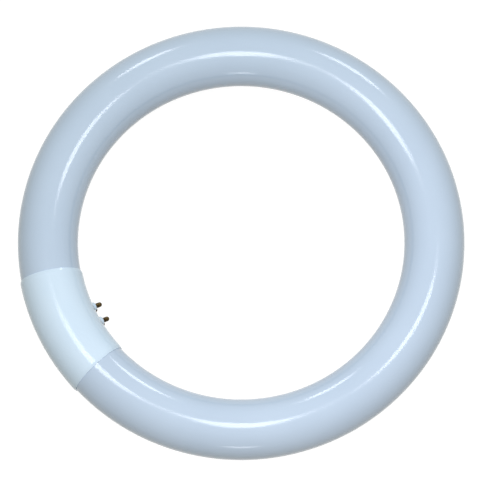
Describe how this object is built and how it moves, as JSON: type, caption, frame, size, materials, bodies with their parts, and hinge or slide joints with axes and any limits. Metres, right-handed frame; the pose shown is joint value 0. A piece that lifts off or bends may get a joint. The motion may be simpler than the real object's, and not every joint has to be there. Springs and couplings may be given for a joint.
{
  "type": "circular fluorescent tube",
  "caption": "Ring-shaped fluorescent lamp: a glossy coated glass tube closed by a white plastic cap, with brass contact pins that point inwards.",
  "frame": {"origin": "centre of the glass ring, in the plane of the tube's centre line", "axes": "+Z along the ring's axis, away from the face that the pins slope towards; +X from the cap across the ring's centre; +Y along the tube at the cap"},
  "size_m": [0.2156, 0.215, 0.0302],
  "materials": {
    "coated_glass": "gloss",
    "cap_plastic": "satin",
    "pin_brass": "dull",
    "lead_metal": "drawn"
  },
  "bodies": {
    "root": {"glass_tube": "coated_glass", "cap_upper_shell": "cap_plastic", "cap_lower_shell": "cap_plastic", "contact_pin_1": "pin_brass", "contact_pin_2": "pin_brass", "contact_pin_3": "pin_brass", "contact_pin_4": "pin_brass", "lead_wire_1": "lead_metal", "lead_wire_2": "lead_metal", "lead_wire_3": "lead_metal", "lead_wire_4": "lead_metal"}
  },
  "joints": []
}
